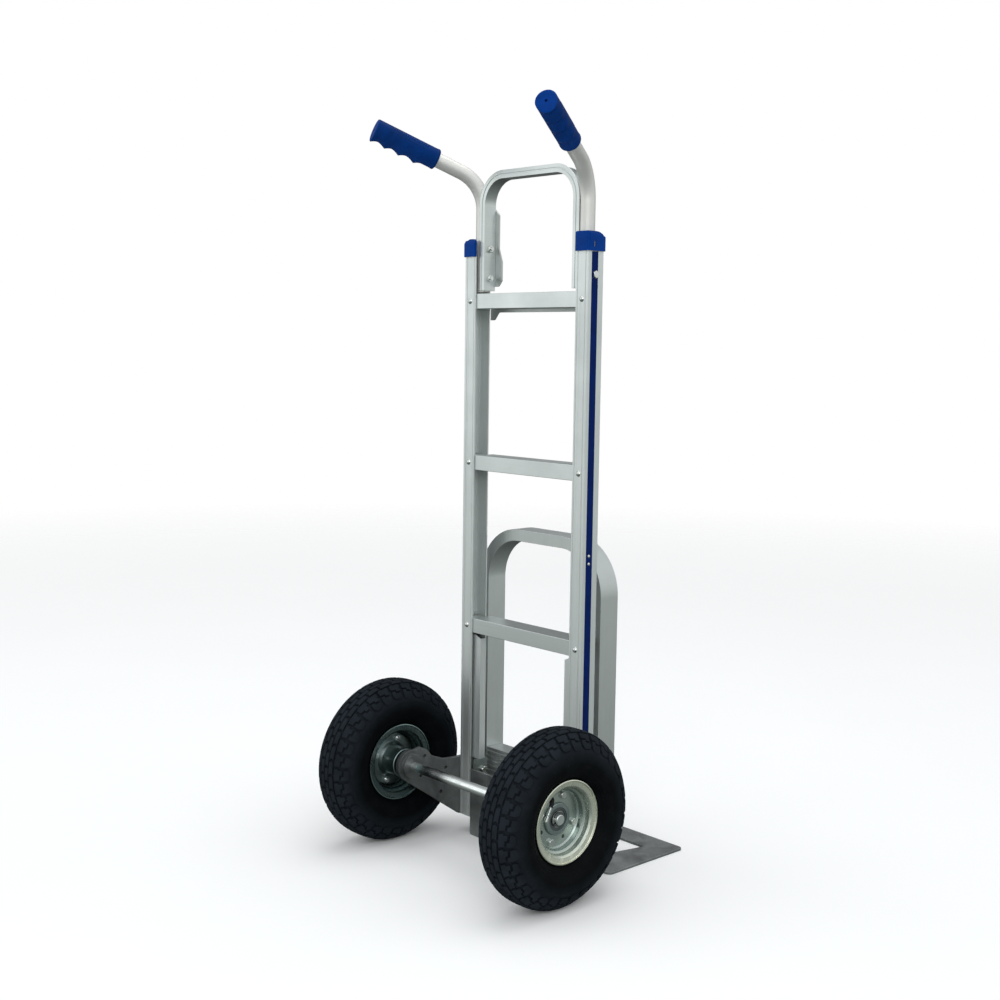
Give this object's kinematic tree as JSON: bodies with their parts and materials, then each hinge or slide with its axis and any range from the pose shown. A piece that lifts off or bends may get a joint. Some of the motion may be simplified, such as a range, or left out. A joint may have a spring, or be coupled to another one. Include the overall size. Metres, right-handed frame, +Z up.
{
  "type": "convertible hand truck",
  "caption": "Two-wheel aluminium hand truck with pneumatic tyres, twin grips, a top loop, a windowed nose plate and a nose extension that folds down over it.",
  "frame": {"origin": "on the floor, under the middle of the truck's bounding box", "axes": "+Z up the rails, -Y towards the load (nose) side, +Y towards the operator, X along the axle with +X at the operator's left"},
  "size_m": [0.4668, 0.4554, 1.1581],
  "materials": {
    "rail_aluminium": "satin anodised extrusion",
    "cast_aluminium": "matt casting",
    "tube_aluminium": "satin drawn tube",
    "zinc_steel": "bright zinc plate",
    "rim_zinc": "yellow-tinted zinc plate",
    "blue_plastic": "moulded vinyl",
    "strip_plastic": "satin strip",
    "tyre_rubber": "matt black rubber",
    "valve_rubber": "matt black rubber"
  },
  "bodies": {
    "frame": {"axle": "zinc_steel", "axle_bracket_left": "cast_aluminium", "axle_bracket_right": "cast_aluminium", "axle_clips": "zinc_steel", "axle_spacers": "zinc_steel", "axle_washers": "zinc_steel", "backing_plate_left": "zinc_steel", "backing_plate_right": "zinc_steel", "clamp_bolts": "zinc_steel", "clamp_nuts": "zinc_steel", "crossbar_lower": "rail_aluminium", "crossbar_middle": "rail_aluminium", "crossbar_rivets": "rail_aluminium", "crossbar_top": "rail_aluminium", "grip_left": "blue_plastic", "grip_right": "blue_plastic", "handle_tube_left": "tube_aluminium", "handle_tube_right": "tube_aluminium", "hinge_pins": "zinc_steel", "loop_bolts": "zinc_steel", "loop_gusset_left": "rail_aluminium", "loop_gusset_right": "rail_aluminium", "loop_nuts": "zinc_steel", "lower_stiffener_left": "rail_aluminium", "lower_stiffener_right": "rail_aluminium", "nose_plate": "cast_aluminium", "rail_cap_left": "blue_plastic", "rail_cap_right": "blue_plastic", "rail_left": "rail_aluminium", "rail_right": "rail_aluminium", "side_strip_left": "strip_plastic", "side_strip_right": "strip_plastic", "strip_rivets": "rail_aluminium", "top_face_plate": "rail_aluminium", "top_loop": "rail_aluminium"},
    "wheel_left": {"bearings_left": "zinc_steel", "hub_left": "zinc_steel", "inner_tube_left": "tyre_rubber", "rim_bolts_left": "zinc_steel", "rim_inner_left": "rim_zinc", "rim_nuts_left": "zinc_steel", "rim_outer_left": "rim_zinc", "tyre_left": "tyre_rubber", "valve_left": "valve_rubber"},
    "wheel_right": {"bearings_right": "zinc_steel", "hub_right": "zinc_steel", "inner_tube_right": "tyre_rubber", "rim_bolts_right": "zinc_steel", "rim_inner_right": "rim_zinc", "rim_nuts_right": "zinc_steel", "rim_outer_right": "rim_zinc", "tyre_right": "tyre_rubber", "valve_right": "valve_rubber"},
    "nose_extension": {"extension_arch": "rail_aluminium", "extension_crosspiece": "rail_aluminium"}
  },
  "joints": [
    {"name": "wheel_left_spin", "type": "hinge", "parent": "frame", "child": "wheel_left", "pos_m": [0.1934, 0.0952, 0.1325], "axis": [1, 0, 0], "continuous": true},
    {"name": "wheel_right_spin", "type": "hinge", "parent": "frame", "child": "wheel_right", "pos_m": [-0.1934, 0.0952, 0.1325], "axis": [1, 0, 0], "continuous": true},
    {"name": "nose_extension_fold", "type": "hinge", "parent": "frame", "child": "nose_extension", "pos_m": [0, -0.0727, 0.0235], "axis": [1, 0, 0], "range_deg": [0, 90]}
  ]
}
